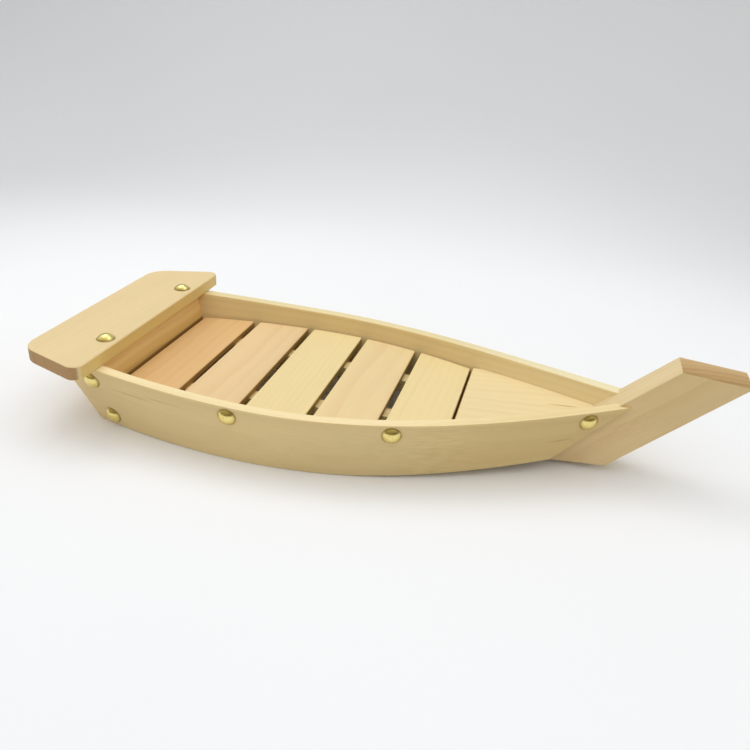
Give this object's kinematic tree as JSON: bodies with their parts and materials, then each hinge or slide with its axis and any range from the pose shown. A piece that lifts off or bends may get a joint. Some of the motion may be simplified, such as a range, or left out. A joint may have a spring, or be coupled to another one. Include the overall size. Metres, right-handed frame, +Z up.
{
  "type": "wooden serving boat",
  "caption": "Boat-shaped wooden serving tray with bent side planks, raked stem, overhanging stern plate, fixed bow deck and a lift-out slatted grate.",
  "frame": {"origin": "middle of the overall length and breadth, at the height of the table", "axes": "+X to the bow, +Y to port, +Z up"},
  "size_m": [0.4012, 0.1754, 0.0703],
  "materials": {
    "plank_wood": "sanded, matt oil",
    "stem_wood": "sanded, matt oil",
    "slat_wood": "sanded, matt oil",
    "inner_wood": "sawn, matt",
    "tack_brass": "polished, slightly aged",
    "brad_steel": "bright wire"
  },
  "bodies": {
    "hull": {"port_plank": "plank_wood", "starboard_plank": "plank_wood", "transom": "inner_wood", "stern_plate": "plank_wood", "stem_post": "stem_wood", "bow_deck": "slat_wood", "bow_beam": "inner_wood", "aft_ledge": "inner_wood", "fore_ledge": "inner_wood", "plate_tacks": "tack_brass", "transom_tacks": "tack_brass", "side_tacks": "tack_brass"},
    "deck": {"deck_slat_1": "slat_wood", "deck_slat_2": "slat_wood", "deck_slat_3": "slat_wood", "deck_slat_4": "slat_wood", "deck_slat_5": "slat_wood", "batten_port": "slat_wood", "batten_starboard": "slat_wood", "slat_brads": "brad_steel"}
  },
  "joints": [
    {"name": "deck_lift", "type": "slide", "parent": "hull", "child": "deck", "axis": [0, 0, 1], "range_m": [0, 0.06]}
  ]
}
